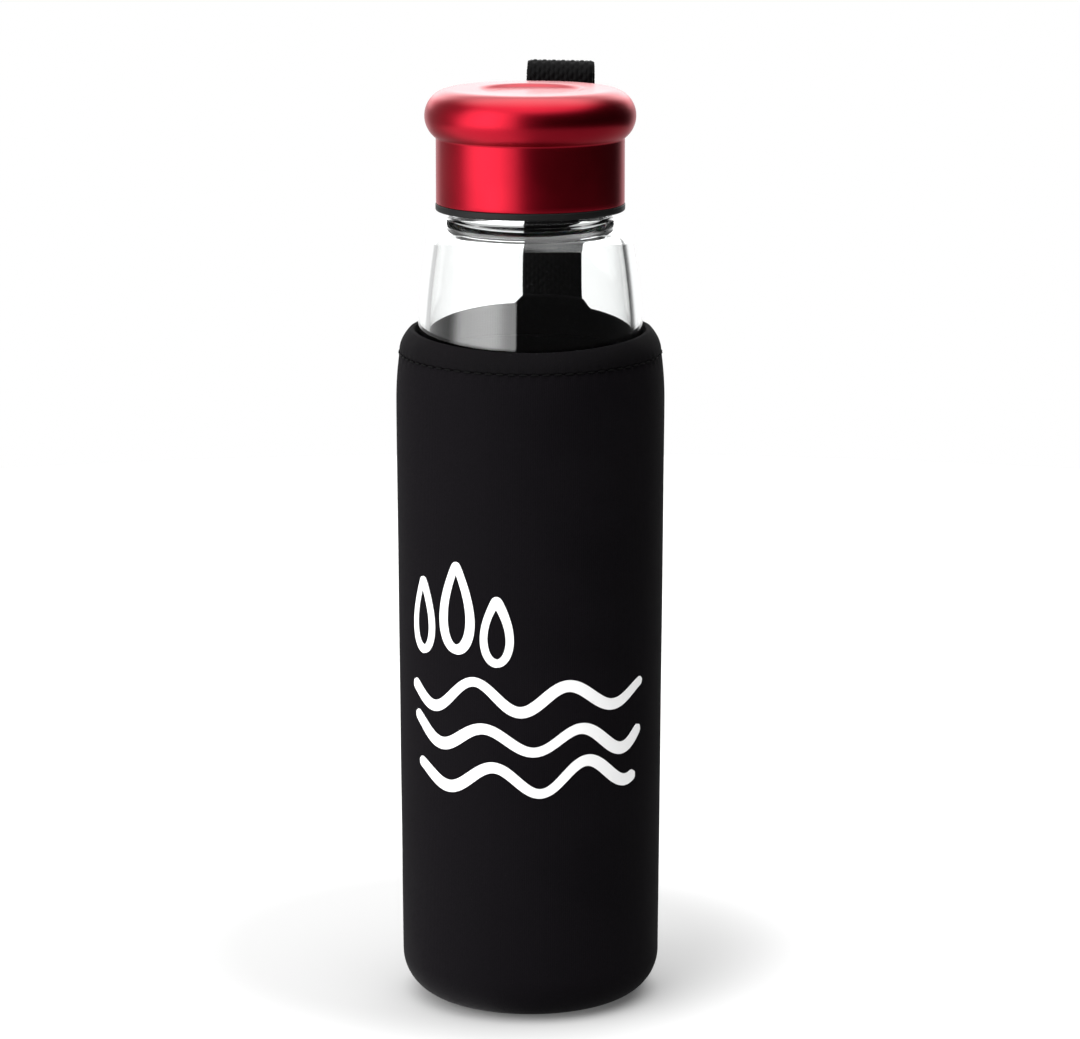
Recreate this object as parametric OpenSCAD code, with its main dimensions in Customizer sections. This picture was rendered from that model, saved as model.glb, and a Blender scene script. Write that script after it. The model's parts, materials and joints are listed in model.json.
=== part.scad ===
// Glass water bottle with a two-part screw cap, in a neoprene sleeve that has a webbing strap.
// The origin is on the bottle's axis, on the surface the sleeve stands on. +Z is up.
// The strap is on +Y. Millimetres throughout.

/* [Glass bottle] */
// Outer radius of the glass body
glass_r = 30.2; // [29.6:0.1:30.6]
// Thickness of the glass wall
glass_wall = 3; // [2.7:0.1:3.2]
// Thickness of the glass floor at its edge
glass_floor = 4.5; // [3.5:0.1:6]
// Radius of the rounded edge around the base
glass_corner = 8; // [6:0.5:9]
// Height of the lip above the surface
lip_z = 228; // [227.5:0.1:228.5]
// Outer radius of the neck between its threads
neck_r = 21.4; // [21.2:0.1:21.5]
// Radius of the mouth
mouth_r = 19.3; // [18.5:0.1:19.5]
// Height where the straight body turns into the long shoulder
shoulder_z = 165; // [162:1:168]
// Radius of the long shoulder curve
shoulder_curve = 250; // [240:1:270]
// Height of the top of the shoulder
shoulder_top = 207.8; // [207.4:0.1:208]
// Depth of the hollow under the base
punt_depth = 2; // [1:0.1:2.5]

/* [Thread] */
// Rise of the cap in one turn
thread_lead = 8; // [7:0.5:9]
// Height of the glass thread over the neck
glass_thread_h = 1.2; // [0.9:0.1:1.2]
// Height of the insert's thread over its wall
insert_thread_h = 1.1; // [0.8:0.1:1.1]
// Turns that each thread makes
thread_turns = 0.9; // [0.6:0.1:1]

/* [Cap] */
// Outer radius of the skirt
skirt_r = 24.75; // [24.7:0.01:24.9]
// Height of the lower edge of the metal shell
skirt_z = 214.2; // [213.8:0.1:215]
// Thickness of the metal
shell_wall = 0.6; // [0.5:0.05:0.65]
// Radius of the rounded bulge round the top
bulge_round = 7.05; // [6.8:0.05:7.3]
// Distance of the bulge's centre from the axis
bulge_at = 20.65; // [20.5:0.05:20.8]
// Height of the flat top
cap_top = 244.15; // [243.8:0.05:244.5]
// Radius of the dished middle of the top
dish_r = 12.9; // [10:0.1:14]
// Depth of the dished middle
dish_depth = 1.3; // [0.8:0.1:1.6]
// Lower edge of the plastic insert
insert_z = 212.5; // [212.2:0.1:213]
// Thickness of the gasket
gasket_t = 1.6; // [1.2:0.1:1.6]

/* [Sleeve] */
// Outer radius at the bottom, above the rounded edge
sleeve_foot_r = 34.5; // [34:0.1:35]
// Outer radius at the widest place
sleeve_top_r = 35.5; // [35.2:0.1:36]
// Height of the widest place
sleeve_wide_z = 158; // [150:1:162]
// Radius of the rounded edge round the foot
sleeve_corner = 11.5; // [11:0.1:12]
// Thickness of the neoprene under the bottle
sleeve_floor = 2.95; // [2.5:0.05:2.95]
// Height of the row of stitches under the rim
stitch_z = 174.7; // [174.2:0.1:175.2]
// Radius of the round of the hem
hem_round = 11.6; // [11.4:0.1:11.8]
// Room between the glass and the neoprene
sleeve_gap = 0.25; // [0.2:0.05:0.3]

/* [Strap] */
// Width of the webbing
strap_w = 18; // [15:0.5:20]
// Thickness of the webbing
strap_t = 1.3; // [1:0.1:1.4]
// Height of the top of the loop
strap_top = 248.3; // [240:0.1:255]
// Height of the bend at the foot of the loop
strap_bend_z = 184.6; // [184.5:0.1:185]
// Distance of that bend from the axis
strap_bend_y = 35.8; // [35.8:0.1:36]
// Open width inside the loop
strap_gap = 5; // [4.8:0.1:7]
// Height of the lower end of the part that is sewn down
anchor_z = 148; // [140:1:155]

/* [Print] */
// Direction that the printed figure faces, turned from -Y towards +X
print_turn = 13; // [0:1:30]
// Width of the printed lines
line_w = 2.6; // [2:0.1:3.2]

/* [Hidden] */
$fn = 120;

glass_z = sleeve_floor + 0.25;
shoulder_x = glass_r - shoulder_curve;
shoulder_round = 8;
shoulder_round_z = shoulder_top - shoulder_round;
ledge = 0.03;
shoulder_round_r = radius_on(shoulder_x, shoulder_z, shoulder_curve, shoulder_round_z) - shoulder_round - ledge;
neck_root = 1.5;
root_rise = 1.8;
root_z = height_on(shoulder_round_r, shoulder_round_z, shoulder_round, neck_r + neck_root) - 5 * ledge;
inner_round = 5.5;
inner_curve = shoulder_curve - glass_wall;
inner_top = shoulder_top - glass_wall;
inner_round_z = inner_top - inner_round;
inner_round_r = radius_on(shoulder_x, shoulder_z, inner_curve, inner_round_z) - inner_round - ledge;
inner_corner = 6;
mouth_flare = 1.3;
flare_z = height_on(inner_round_r, inner_round_z, inner_round, mouth_r + mouth_flare) - 4 * ledge;
lip_round = (neck_r - mouth_r) / 2;
punt_r = 18;
punt_curve = curve_of(punt_r, punt_depth);
punt_at = glass_z + punt_depth - punt_curve;

thread_starts = 2;
thread_z = 215.4;
thread_root_w = 2.1;
thread_crest_w = 0.9;
thread_step = 15;
thread_bite = 0.8;
thread_from = 11;
start_pitch = thread_lead / thread_starts;

thread_room = 0.4;
cap_room = 0.1;
insert_r = skirt_r - shell_wall - cap_room / 2;
insert_bore = neck_r + glass_thread_h + thread_room;
insert_rim = 0.15;
insert_roof = 1.4;
gasket_z = lip_z + cap_room;
gasket_over = 0.5;
gasket_room = 0.3;
insert_ceiling = gasket_z + gasket_t + cap_room;
insert_top = insert_ceiling + insert_roof;
boss_r = 9;
boss_wall = 1.5;
bulge_z = cap_top - bulge_round;
crease_z = bulge_z - sqrt(pow(bulge_round, 2) - pow(skirt_r - bulge_at, 2));
dish_curve = curve_of(dish_r, dish_depth);
dish_at = cap_top - dish_depth + dish_curve;

dome_rise = 0.3;

sleeve_bore = glass_r + sleeve_gap;
sleeve_inner_corner = glass_corner + sleeve_gap;
sleeve_inner_z = glass_z + glass_corner;
base_r = sleeve_foot_r - sleeve_corner - 0.5;
seam_w = 1.2;
seam_room = 0.05;
notch_r = sleeve_top_r - 0.9;
straight_z = sleeve_wide_z + 6;
hem_z = stitch_z + 0.3;
hem_x = notch_r - hem_round;
stitch_r = 0.35;
stitch_lift = 0.1;
back_seam_w = 3.5;
back_seam_t = 0.4;
skin = 0.02;

print_low = 60;
print_high = 128;
print_sunk = 0.03;
print_proud = 0.18;
wave_rise = 3.2;
wave_length = 24;
drop_side = 0.7;
drop_tip = 1.3;

fold_room = 1.6 * strap_t;
leg_point = [0.1, 2];
leg_point_r = 0.2;
anchor_room = 0.1;
anchor_top = strap_bend_z - strap_t - 0.5;
box_w = strap_w - 5;
box_h = 13;
box_up = 3;
sewn_w = 0.7;
sewn_proud = 0.32;
big = 60;
back = 90;

// Radius where a circle about (x, z) with radius r passes the height h
function radius_on(x, z, r, h) = x + sqrt(pow(r, 2) - pow(h - z, 2));
// Height where the same circle passes the radius w
function height_on(x, z, r, w) = z + sqrt(pow(r, 2) - pow(w - x, 2));
// Radius of the circle that has a chord of half width c and a rise of h
function curve_of(c, h) = (pow(c, 2) + pow(h, 2)) / (2 * h);
// Outer radius of the sleeve's straight taper at a height
function sleeve_r(z) = sleeve_foot_r
    + (sleeve_top_r - sleeve_foot_r) * (z - sleeve_corner) / (sleeve_wide_z - sleeve_corner);

// A rectangle given by its lowest and highest radius and height
module block(r0, r1, z0, z1) {
    translate([r0, z0]) square([r1 - r0, z1 - z0]);
}

module disc(r, at_r, at_z) {
    translate([at_r, at_z]) circle(r, $fn = 360);
}

module turned() {
    rotate_extrude($fn = 180) children();
}

// Part of a revolve that is w wide and centred on +Y
module turned_patch(w, r) {
    span = 2 * asin(w / 2 / r);
    rotate([0, 0, back - span / 2]) rotate_extrude(angle = span, $fn = 180) children();
}

// One section of a thread: its inner and outer edge, turned to the angle a
function thread_ring(a, z, r_in, w_in, r_out, w_out) = [
    for (p = [[r_in, -w_in], [r_out, -w_out], [r_out, w_out], [r_in, w_in]])
        [p[0] * cos(a), p[0] * sin(a), z + p[1] / 2]
];

// A helical thread from the wall at r_wall to the crest at r_crest, fading in and out
module thread(r_wall, r_crest, z0, a0) {
    n = round(360 * thread_turns / thread_step);
    out = r_crest > r_wall ? 1 : -1;
    root = r_wall - out * thread_bite;
    sunk = r_wall - out * thread_bite / 3;
    fade = [for (i = [0:n]) min(1, i / 3, (n - i) / 3)];
    rings = [
        for (i = [0:n])
            let (a = i * thread_step, z = z0 + thread_lead * a / 360, c = sunk + (r_crest - sunk) * fade[i])
            out > 0
                ? thread_ring(a0 + a, z, root, thread_root_w, c, thread_crest_w)
                : thread_ring(a0 + a, z, c, thread_crest_w, root, thread_root_w)
    ];
    points = [for (ring = rings, p = ring) p];
    sides = [
        for (i = [0:n - 1], j = [0:3])
            let (k = (j + 1) % 4, a = 4 * i + j, b = 4 * i + k)
            each [[a, b, b + 4], [a, b + 4, a + 4]]
    ];
    caps = [[3, 2, 1], [3, 1, 0], [4 * n, 4 * n + 1, 4 * n + 2], [4 * n, 4 * n + 2, 4 * n + 3]];
    polyhedron(points, concat(sides, caps));
}

module threads(r_wall, r_crest, z0) {
    for (i = [0:thread_starts - 1])
        thread(r_wall, r_crest, z0, thread_from + 360 * i / thread_starts);
}

// A cone that runs from the radius r + w at the height z1 up to the radius r
module root_cone(r, w, z0, z1, rise) {
    polygon([[0, z0], [r + w, z0], [r + w, z1], [r, z1 + rise], [0, z1 + rise]]);
}

module glass_outline() {
    intersection() {
        disc(shoulder_curve, shoulder_x, shoulder_z);
        block(0, big, shoulder_z, shoulder_round_z);
    }
    block(0, glass_r, glass_z + glass_corner, shoulder_z);
    block(0, glass_r - glass_corner, glass_z, glass_z + glass_corner);
    intersection() {
        disc(glass_corner, glass_r - glass_corner, glass_z + glass_corner);
        block(0, big, glass_z, glass_z + glass_corner);
    }
    intersection() {
        disc(shoulder_round, shoulder_round_r, shoulder_round_z);
        block(0, big, shoulder_round_z, shoulder_top);
    }
    block(0, shoulder_round_r, shoulder_round_z, shoulder_top);
    root_cone(neck_r, neck_root, shoulder_round_z, root_z, root_rise);
    block(0, neck_r, shoulder_top, lip_z - lip_round);
    disc(lip_round, neck_r - lip_round, lip_z - lip_round);
}

module glass_hollow() {
    floor_z = glass_z + glass_floor;
    corner_r = glass_r - glass_wall - inner_corner;
    difference() {
        union() {
            block(0, corner_r, floor_z, floor_z + inner_corner);
            intersection() {
                disc(inner_corner, corner_r, floor_z + inner_corner);
                block(0, big, floor_z, floor_z + inner_corner);
            }
        }
        disc(punt_curve + glass_floor - dome_rise, 0, punt_at);
    }
    block(0, glass_r - glass_wall, floor_z + inner_corner, shoulder_z);
    intersection() {
        disc(inner_curve, shoulder_x, shoulder_z);
        block(0, big, shoulder_z, inner_round_z);
    }
    intersection() {
        disc(inner_round, inner_round_r, inner_round_z);
        block(0, big, inner_round_z, inner_top);
    }
    block(0, inner_round_r, inner_round_z, inner_top);
    root_cone(mouth_r, mouth_flare, inner_round_z, flare_z, mouth_flare);
    block(0, mouth_r, inner_top, lip_z + 1);
}

module glass_bottle() {
    color([0.86, 0.9, 0.9, 0.45]) {
        turned() difference() {
            glass_outline();
            glass_hollow();
            disc(punt_curve, 0, punt_at);
        }
        threads(neck_r, neck_r + glass_thread_h, thread_z);
    }
}

module cap_shell() {
    inner_r = skirt_r - shell_wall;
    color([0.72, 0.04, 0.09]) turned() difference() {
        union() {
            block(0, skirt_r, skirt_z, crease_z + 1);
            block(0, bulge_at, crease_z, cap_top);
            disc(bulge_round, bulge_at, bulge_z);
        }
        difference() {
            union() {
                block(0, inner_r, skirt_z - 1, crease_z + 1);
                block(0, bulge_at, crease_z, cap_top - shell_wall);
                disc(bulge_round - shell_wall, bulge_at, bulge_z);
            }
            disc(dish_curve + shell_wall, 0, dish_at);
        }
        disc(dish_curve, 0, dish_at);
    }
}

module cap_insert() {
    color([0.05, 0.05, 0.05]) {
        turned() difference() {
            union() {
                block(0, insert_r, insert_z, insert_top);
                block(0, skirt_r + insert_rim, insert_z, skirt_z);
                difference() {
                    block(0, boss_r, insert_top, cap_top);
                    disc(dish_curve + shell_wall + cap_room, 0, dish_at);
                }
            }
            block(0, insert_bore, insert_z - 1, insert_ceiling);
            block(0, boss_r - boss_wall, insert_top, cap_top);
        }
        threads(insert_bore, insert_bore - insert_thread_h, thread_z - start_pitch / 2);
    }
}

module cap_gasket() {
    color([0.88, 0.88, 0.85]) turned()
        block(mouth_r - gasket_over, insert_bore - gasket_room, gasket_z, gasket_z + gasket_t);
}

// The sleeve's outside, grown by g, up to the stitches under the rim
module sleeve_outline(g = 0) {
    polygon([
        [0, 0],
        [sleeve_foot_r - sleeve_corner, 0],
        [sleeve_foot_r - sleeve_corner, sleeve_corner],
        [sleeve_foot_r + g, sleeve_corner],
        [sleeve_top_r + g, sleeve_wide_z],
        [sleeve_top_r + g, straight_z],
        [notch_r + g, stitch_z],
        [0, stitch_z],
    ]);
    intersection() {
        disc(sleeve_corner + g, sleeve_foot_r - sleeve_corner, sleeve_corner);
        block(sleeve_foot_r - sleeve_corner, big, -g, sleeve_corner);
    }
}

module sleeve_hollow() {
    corner_r = sleeve_bore - sleeve_inner_corner;
    block(0, sleeve_bore, sleeve_inner_z, stitch_z + 1);
    block(0, corner_r, sleeve_floor, sleeve_inner_z);
    intersection() {
        disc(sleeve_inner_corner, corner_r, sleeve_inner_z);
        block(0, big, sleeve_floor, sleeve_inner_z);
    }
}

module sleeve_body() {
    color([0.07, 0.065, 0.07]) turned() difference() {
        sleeve_outline();
        sleeve_hollow();
        block(0, base_r, -1, sleeve_floor + 1);
        block(0, base_r + seam_w, -1, seam_w);
    }
}

module sleeve_base() {
    color([0.09, 0.085, 0.09]) turned() block(0, base_r - seam_room, 0, sleeve_floor);
}

module base_seam() {
    color([0.03, 0.03, 0.03]) turned()
        disc(seam_w / 2 - 2 * seam_room, base_r + seam_w / 2, seam_w / 2 + seam_room);
}

module sleeve_hem() {
    color([0.055, 0.05, 0.055]) turned() intersection() {
        disc(hem_round, hem_x, stitch_z);
        block(sleeve_bore, big, hem_z, big + stitch_z);
    }
}

// The stitches run round the rim from one edge of the webbing to the other
module hem_stitches() {
    gap = 2 * asin((strap_w + 1) / 2 / notch_r);
    color([0.02, 0.02, 0.02]) rotate([0, 0, back + gap / 2]) rotate_extrude(angle = 360 - gap, $fn = 180)
        disc(stitch_r, notch_r + stitch_r, stitch_z + stitch_lift);
}

module back_seam() {
    color([0.03, 0.03, 0.03]) turned_patch(back_seam_w, sleeve_top_r) difference() {
        sleeve_outline(back_seam_t);
        sleeve_outline(skin);
        block(0, big, -1, sleeve_corner);
        block(0, big, anchor_z - 1, big + stitch_z);
    }
}

// A thin skin over the straight taper of the sleeve, from g0 to g1 proud of it
module print_skin(g0, g1, z0, z1) {
    rotate_extrude($fn = 180) polygon([
        [sleeve_r(z0) + g0, z0], [sleeve_r(z0) + g1, z0],
        [sleeve_r(z1) + g1, z1], [sleeve_r(z1) + g0, z1],
    ]);
}

// A wavy line about the height z, between two distances from the middle
module wave(x0, x1, z, shift) {
    n = 48;
    xs = [for (i = [0:n]) x0 + (x1 - x0) * i / n];
    upper = [for (x = xs) [x, z + wave_rise * sin(360 * (x - shift) / wave_length) + line_w / 2]];
    lower = [for (i = [n:-1:0]) [xs[i], upper[i][1] - line_w]];
    polygon(concat(upper, lower));
}

module drop_shape(r, tip) {
    hull() {
        circle(r, $fn = 32);
        translate([0, tip]) circle(0.3, $fn = 12);
    }
}

module drop(x, z, r, tip) {
    translate([x, z]) difference() {
        drop_shape(r, tip);
        drop_shape(r - line_w * drop_side, tip - line_w * drop_tip);
    }
}

module sleeve_print() {
    color([0.93, 0.93, 0.93]) intersection() {
        rotate([0, 0, print_turn]) rotate([90, 0, 0]) linear_extrude(big) {
            drop(-25.5, 104, 4.6, 13);
            drop(-15.5, 106, 5.4, 16);
            drop(-5.5, 103, 4.2, 11);
            wave(-30, 29, 87, 4);
            wave(-30, 29, 77, 7);
            wave(-29, 28, 67, 10);
        }
        print_skin(print_sunk, print_proud, print_low, print_high);
    }
}

// The loop's outline seen from the side: y across, z up, rising from the bend at its foot
module loop_outline(r, foot_r) {
    top_z = strap_top - strap_t - strap_gap / 2 - strap_bend_z;
    leg_y = strap_t + strap_gap / 2;
    hull() {
        translate([leg_y - strap_t, top_z]) circle(r, $fn = 48);
        translate([0, 0]) circle(foot_r, $fn = 32);
    }
}

module strap_loop() {
    round_r = strap_gap / 2;
    color([0.04, 0.04, 0.04]) translate([strap_w / 2, strap_bend_y, strap_bend_z])
        rotate([90, 0, -90]) linear_extrude(strap_w) mirror([1, 0]) difference() {
            loop_outline(round_r + strap_t, strap_t);
            translate([0, fold_room]) loop_hollow(round_r);
        }
}

module loop_hollow(r) {
    top_z = strap_top - strap_t - r - strap_bend_z - fold_room;
    hull() {
        translate([r, top_z]) circle(r, $fn = 48);
        translate(leg_point) circle(leg_point_r, $fn = 12);
    }
}

// The two layers of webbing that lie on the sleeve's back, d thick and starting at g
module anchor_profile(g, d, z0, z1) {
    top_r = strap_bend_y - strap_t;
    polygon([
        [sleeve_top_r + g, z0],
        [sleeve_top_r + g + d, z0],
        [sleeve_top_r + g + d, straight_z],
        [top_r + g + d, z1],
        [top_r + g, z1],
        [sleeve_top_r + g, straight_z],
    ]);
}

module strap_anchor() {
    color([0.04, 0.04, 0.04]) turned_patch(strap_w, sleeve_top_r + strap_t)
        anchor_profile(anchor_room, 2 * (strap_t - anchor_room), anchor_z, anchor_top);
}

module strap_stitches() {
    slope = atan2(box_h, box_w);
    face_r = sleeve_top_r + 2 * strap_t - anchor_room;
    color([0.02, 0.02, 0.02]) intersection() {
        translate([0, 0, anchor_z + box_up + box_h / 2]) rotate([90, 0, 180]) linear_extrude(big) {
            difference() {
                square([box_w, box_h], center = true);
                square([box_w - 2 * sewn_w, box_h - 2 * sewn_w], center = true);
            }
            for (s = [-1, 1])
                rotate(s * slope) square([norm([box_w, box_h]) - 1, sewn_w], center = true);
        }
        rotate_extrude($fn = 180)
            block(face_r + skin, face_r + sewn_proud, anchor_z, anchor_z + 2 * box_h);
    }
}

glass_bottle();
cap_shell();
cap_insert();
cap_gasket();
sleeve_body();
sleeve_base();
sleeve_hem();
hem_stitches();
base_seam();
back_seam();
sleeve_print();
strap_loop();
strap_anchor();
strap_stitches();
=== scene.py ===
import json
import math

import bpy
from mathutils import Matrix, Vector, noise


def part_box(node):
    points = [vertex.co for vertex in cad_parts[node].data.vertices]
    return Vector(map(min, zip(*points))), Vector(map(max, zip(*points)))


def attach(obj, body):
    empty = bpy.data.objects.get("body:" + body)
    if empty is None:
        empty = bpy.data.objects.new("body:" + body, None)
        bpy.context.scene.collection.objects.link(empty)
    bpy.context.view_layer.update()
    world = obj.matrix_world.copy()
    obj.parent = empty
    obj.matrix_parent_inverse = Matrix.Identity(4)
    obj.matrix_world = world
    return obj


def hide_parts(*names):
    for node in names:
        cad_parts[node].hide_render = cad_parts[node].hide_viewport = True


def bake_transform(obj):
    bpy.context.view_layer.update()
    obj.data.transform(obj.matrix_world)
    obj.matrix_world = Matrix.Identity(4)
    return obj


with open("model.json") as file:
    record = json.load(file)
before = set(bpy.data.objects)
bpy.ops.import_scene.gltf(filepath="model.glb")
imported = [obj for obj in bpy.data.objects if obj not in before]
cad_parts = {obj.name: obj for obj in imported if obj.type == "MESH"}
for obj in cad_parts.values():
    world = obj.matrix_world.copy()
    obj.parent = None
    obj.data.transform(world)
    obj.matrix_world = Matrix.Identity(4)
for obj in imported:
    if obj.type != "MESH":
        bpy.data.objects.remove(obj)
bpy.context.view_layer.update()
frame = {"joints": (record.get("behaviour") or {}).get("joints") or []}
mm = 0.001
fullTurn = 2 * math.pi
frontSide = 13.0          # degrees from -Y towards +X: the side of the sleeve that carries the print

# the camera: where it stands round the bottle, how far, how high and where it looks
camera = {
    "azimuth": frontSide,
    "distance": 1.100,    # metres from the bottle's axis
    "height": 0.3491,     # metres above the table
    "pitch": 11.293,      # degrees down
    "pan": 0.132,         # degrees right of the bottle's axis
    "lens": 140.5,
}


def addCamera():
    turn = math.radians(camera["azimuth"])
    place = (math.sin(turn) * camera["distance"], -math.cos(turn) * camera["distance"], camera["height"])
    bpy.ops.object.camera_add(location=place)
    seen = bpy.context.object
    seen.rotation_euler = (math.radians(90 - camera["pitch"]), 0, turn - math.radians(camera["pan"]))
    seen.data.lens = camera["lens"]
    seen.data.sensor_width = 36
    seen.data.clip_end = 50
    bpy.context.scene.camera = seen


addCamera()


def freshStart():
    if bpy.context.mode != "OBJECT":
        bpy.ops.object.mode_set(mode="OBJECT")
    bpy.ops.object.select_all(action="DESELECT")


def pick(*pieces):
    freshStart()
    for piece in pieces:
        piece.select_set(True)
    bpy.context.view_layer.objects.active = pieces[0]


def editAll(piece):
    pick(piece)
    bpy.ops.object.mode_set(mode="EDIT")
    bpy.ops.mesh.select_all(action="SELECT")


def named(name):
    piece = bpy.context.object
    piece.name = piece.data.name = name
    return piece


def joined(name, pieces):
    pick(*pieces)
    bpy.ops.object.join()
    return named(name)


def copiedRound(piece, steps, count):
    # adds copies that stand a count-th of a turn apart
    editAll(piece)
    bpy.ops.mesh.spin(steps=steps, angle=fullTurn * steps / count, dupli=True,
                      axis=(0, 0, 1), center=(0, 0, 0))
    bpy.ops.object.mode_set(mode="OBJECT")


def startOutline(name, r, z):
    # a small plane is merged to the outline's first point
    freshStart()
    bpy.ops.mesh.primitive_plane_add(size=mm, location=(r * mm, 0, z * mm))
    bpy.ops.object.transform_apply(location=True, rotation=False, scale=False)
    piece = named(name)
    bpy.ops.object.mode_set(mode="EDIT")
    bpy.ops.mesh.select_mode(type="VERT")
    bpy.ops.mesh.select_all(action="SELECT")
    bpy.ops.mesh.merge(type="CENTER")
    return piece


def lineTo(here, r, z, steps):
    for i in range(steps):
        move = ((r - here[0]) / steps * mm, 0, (z - here[1]) / steps * mm)
        bpy.ops.mesh.extrude_region_move(TRANSFORM_OT_translate={"value": move})
    return r, z


def arcTo(here, centreR, centreZ, degrees, steps):
    # positive turns from +R towards +Z
    bpy.ops.mesh.spin(steps=steps, angle=math.radians(degrees), axis=(0, 1, 0),
                      center=(centreR * mm, 0, centreZ * mm))
    turn = math.radians(degrees)
    r, z = here[0] - centreR, here[1] - centreZ
    return (centreR + r * math.cos(turn) - z * math.sin(turn),
            centreZ + r * math.sin(turn) + z * math.cos(turn))


def turned(name, first, moves, steps):
    # an outline of lines and arcs, spun once round the bottle's axis into a closed wall;
    # each move ends with its number of steps
    piece = startOutline(name, *first)
    here = first
    for move in moves:
        here = (lineTo if move[0] == "line" else arcTo)(here, *move[1:])
    bpy.ops.mesh.select_all(action="SELECT")
    bpy.ops.mesh.remove_doubles(threshold=0.01 * mm)
    bpy.ops.mesh.spin(steps=steps, angle=fullTurn, axis=(0, 0, 1), center=(0, 0, 0))
    return closeUp(piece)


def closeUp(piece):
    # merges doubles and turns the faces outwards
    if bpy.context.mode != "EDIT_MESH":
        editAll(piece)
    bpy.ops.mesh.select_all(action="SELECT")
    bpy.ops.mesh.remove_doubles(threshold=0.004 * mm)
    bpy.ops.mesh.normals_make_consistent(inside=False)
    bpy.ops.object.mode_set(mode="OBJECT")
    return piece


def smooth(piece, degrees):
    pick(piece)
    bpy.ops.object.shade_smooth_by_angle(angle=math.radians(degrees))
    return piece


def applied(piece, kind, **settings):
    pick(piece)
    bpy.ops.object.modifier_add(type=kind)
    modifier = piece.modifiers[-1]
    for key, value in settings.items():
        setattr(modifier, key, value)
    bpy.ops.object.modifier_apply(modifier=modifier.name)


def reshape(piece, move):
    # move takes and returns a place in millimetres
    for v in piece.data.vertices:
        v.co = Vector(move(*(v.co / mm))) * mm
    piece.data.update()


def ease(a, b, x):
    t = min(1.0, max(0.0, (x - a) / (b - a)))
    return t * t * (3 - 2 * t)


def fromFront(x, y):
    # degrees round the axis from the front, positive to its right
    angle = math.degrees(math.atan2(x, -y)) - frontSide
    return (angle + 180) % 360 - 180


def finishPiece(piece, body, material, slot, *nodes):
    piece.data.materials.clear()
    piece.data.materials.append(material)
    if body:
        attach(piece, body)
    if nodes:
        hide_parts(*nodes)
    return piece


class Value:
    # a socket that plain expressions can be written with
    def __init__(self, finish, socket):
        self.finish, self.socket = finish, socket

    def maths(self, operation, *values):
        return self.finish.node("ShaderNodeMath", {"operation": operation}, dict(enumerate(values)))

    def __add__(self, other):
        return self.maths("ADD", self, other)

    def __radd__(self, other):
        return self.maths("ADD", other, self)

    def __sub__(self, other):
        return self.maths("SUBTRACT", self, other)

    def __rsub__(self, other):
        return self.maths("SUBTRACT", other, self)

    def __mul__(self, other):
        return self.maths("MULTIPLY", self, other)

    def __rmul__(self, other):
        return self.maths("MULTIPLY", other, self)

    def __truediv__(self, other):
        return self.maths("DIVIDE", self, other)

    def __rtruediv__(self, other):
        return self.maths("DIVIDE", other, self)

    def sine(self):
        return self.maths("SINE", self)

    def size(self):
        return self.maths("ABSOLUTE", self)

    def whole(self):
        return self.maths("FLOOR", self)

    def most(self, other):
        return self.maths("MAXIMUM", self, other)


class Finish:
    # a material or world whose nodes all come from node()
    def __init__(self, owner):
        self.owner = owner
        owner.use_nodes = True
        self.tree = owner.node_tree
        self.tree.nodes.clear()

    def node(self, kind, settings=None, sockets=None, out=0):
        made = self.tree.nodes.new(kind)
        for key, value in (settings or {}).items():
            setattr(made, key, value)
        for key, value in (sockets or {}).items():
            if isinstance(value, Value):
                self.tree.links.new(value.socket, made.inputs[key])
            else:
                made.inputs[key].default_value = value
        return Value(self, made.outputs[out]) if made.outputs else None

    def place(self, scale=(1, 1, 1), turn=(0, 0, 0)):
        at = self.node("ShaderNodeTexCoord", out=3)
        return self.node("ShaderNodeMapping", {}, {0: at, 2: turn, 3: scale})

    def noise(self, scale, detail=2, roughness=0.5, vector=None):
        return self.node("ShaderNodeTexNoise", {}, {
            "Vector": vector or self.place(), "Scale": scale, "Detail": detail, "Roughness": roughness})

    def between(self, x, a, b, low=0.0, high=1.0):
        return self.node("ShaderNodeMapRange", {"interpolation_type": "SMOOTHSTEP"},
                         {0: x, 1: a, 2: b, 3: low, 4: high})

    def mixColour(self, factor, a, b):
        return self.node("ShaderNodeMix", {"data_type": "RGBA"}, {0: factor, 6: a, 7: b}, out=2)

    def bump(self, height, strength, distance, normal=None):
        sockets = {"Height": height, "Strength": strength, "Distance": distance}
        if normal:
            sockets["Normal"] = normal
        return self.node("ShaderNodeBump", {}, sockets)

    def surface(self, colour, roughness, normal, **others):
        # others are written with underscores for the spaces in the sockets' names
        sockets = {"Base Color": colour, "Roughness": roughness, "Normal": normal}
        sockets.update({key.replace("_", " "): value for key, value in others.items()})
        shader = self.node("ShaderNodeBsdfPrincipled", {}, sockets)
        self.node("ShaderNodeOutputMaterial", {}, {"Surface": shader})
        return self.owner


def newFinish(name):
    return Finish(bpy.data.materials.new(name))


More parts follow.
